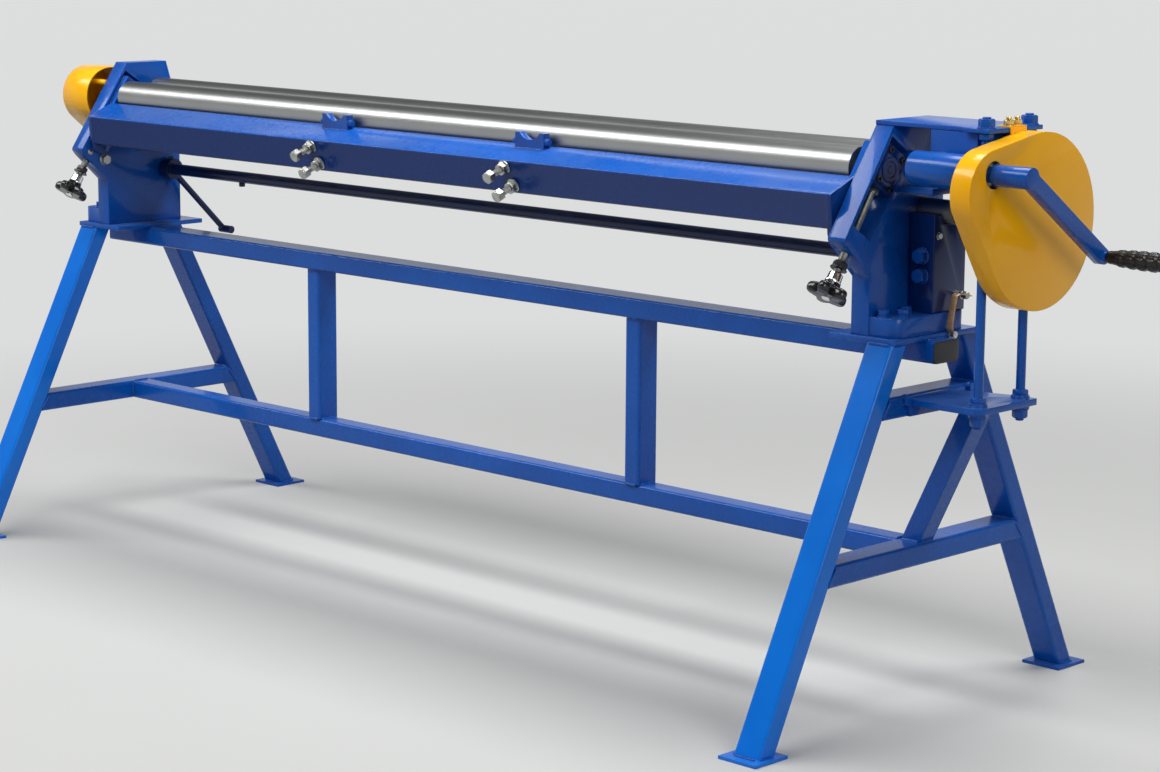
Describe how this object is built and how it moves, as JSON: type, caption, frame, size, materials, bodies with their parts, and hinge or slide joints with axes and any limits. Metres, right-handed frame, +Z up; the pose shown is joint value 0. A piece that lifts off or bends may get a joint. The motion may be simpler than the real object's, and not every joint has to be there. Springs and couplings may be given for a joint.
{
  "type": "plate rolling machine",
  "caption": "Hand-cranked three-roll plate bending machine with an inclined bending roll and support beam, geared pinch rolls, star-knob screws and a splayed welded tube stand.",
  "frame": {"origin": "on the floor, under the centre of the machine's box", "axes": "+X along the rolls towards the crank, -Y the side of the support beam and star knobs, +Z up"},
  "size_m": [2.916, 0.978, 1.103],
  "materials": {
    "stand_paint": "gloss blue paint",
    "frame_paint": "gloss blue paint on cast iron",
    "cover_paint": "gloss yellow paint",
    "roll_steel": "ground steel",
    "gear_steel": "dark greased steel",
    "crank_paint": "gloss blue paint",
    "grip_rubber": "black rubber",
    "block_steel": "oiled dark steel",
    "knob_plastic": "black moulded plastic",
    "screw_steel": "bright steel",
    "shaft_paint": "dark blue paint"
  },
  "bodies": {
    "stand": {"front_leg_left": "stand_paint", "rear_leg_left": "stand_paint", "front_leg_right": "stand_paint", "rear_leg_right": "stand_paint", "cross_bar_left": "stand_paint", "cross_bar_right": "stand_paint", "upper_rail": "stand_paint", "lower_rail": "stand_paint", "rail_post_left": "stand_paint", "rail_post_right": "stand_paint", "top_plate_left": "stand_paint", "top_plate_right": "stand_paint", "brace_cross_member": "stand_paint", "brace_bracket": "stand_paint", "brace_strut": "stand_paint", "tie_rod_front": "stand_paint", "tie_rod_rear": "stand_paint", "end_frame_left": "frame_paint", "end_frame_right": "frame_paint", "cap_right": "frame_paint", "crank_housing": "frame_paint", "low_bearing_right": "frame_paint", "gear_cover_left": "cover_paint", "gear_cover_right": "cover_paint"},
    "top_roll_body": {"top_roll": "roll_steel", "top_roll_gear": "gear_steel"},
    "low_roll_body": {"low_roll": "roll_steel", "low_roll_gear": "gear_steel", "drive_gear": "gear_steel"},
    "crank_body": {"crank_arm": "crank_paint", "crank_grip": "grip_rubber", "crank_pinion": "gear_steel"},
    "bend_slide_body": {"support_beam": "frame_paint", "slide_block_left": "block_steel", "slide_block_right": "block_steel"},
    "bending_roll_body": {"bending_roll": "roll_steel"},
    "knob_left_body": {"star_knob_left": "knob_plastic", "screw_left": "screw_steel"},
    "knob_right_body": {"star_knob_right": "knob_plastic", "screw_right": "screw_steel"},
    "lift_body": {"lift_shaft": "shaft_paint", "lift_lever": "shaft_paint"}
  },
  "joints": [
    {"name": "low_roll_spin", "type": "hinge", "parent": "stand", "child": "low_roll_body", "pos_m": [-0.198, 0.035, 0.919], "axis": [1, 0, 0], "continuous": true},
    {"name": "top_roll_spin", "type": "hinge", "parent": "stand", "child": "top_roll_body", "pos_m": [-0.198, 0.02, 1.00165], "axis": [1, 0, 0], "continuous": true},
    {"name": "crank_spin", "type": "hinge", "parent": "stand", "child": "crank_body", "pos_m": [1.102, -0.10838, 1.01034], "axis": [1, 0, 0], "continuous": true},
    {"name": "bend_slide", "type": "slide", "parent": "stand", "child": "bend_slide_body", "axis": [0, 0.5592, 0.829], "range_m": [-0.08, 0.004]},
    {"name": "bending_roll_spin", "type": "hinge", "parent": "bend_slide_body", "child": "bending_roll_body", "pos_m": [-0.198, -0.064, 0.997], "axis": [1, 0, 0], "continuous": true},
    {"name": "star_knob_left_spin", "type": "hinge", "parent": "bend_slide_body", "child": "knob_left_body", "pos_m": [-1.323, -0.064, 0.997], "axis": [0, 0.5592, 0.829], "continuous": true},
    {"name": "star_knob_right_spin", "type": "hinge", "parent": "bend_slide_body", "child": "knob_right_body", "pos_m": [0.927, -0.064, 0.997], "axis": [0, 0.5592, 0.829], "continuous": true},
    {"name": "lift_lever_turn", "type": "hinge", "parent": "stand", "child": "lift_body", "pos_m": [-1.281, 0.05, 0.824], "axis": [1, 0, 0], "range_deg": [0, 75]}
  ],
  "couplings": [
    {"joint": "top_roll_spin", "follows": "low_roll_spin", "ratio": -1},
    {"joint": "crank_spin", "follows": "low_roll_spin", "ratio": -4.6667}
  ]
}
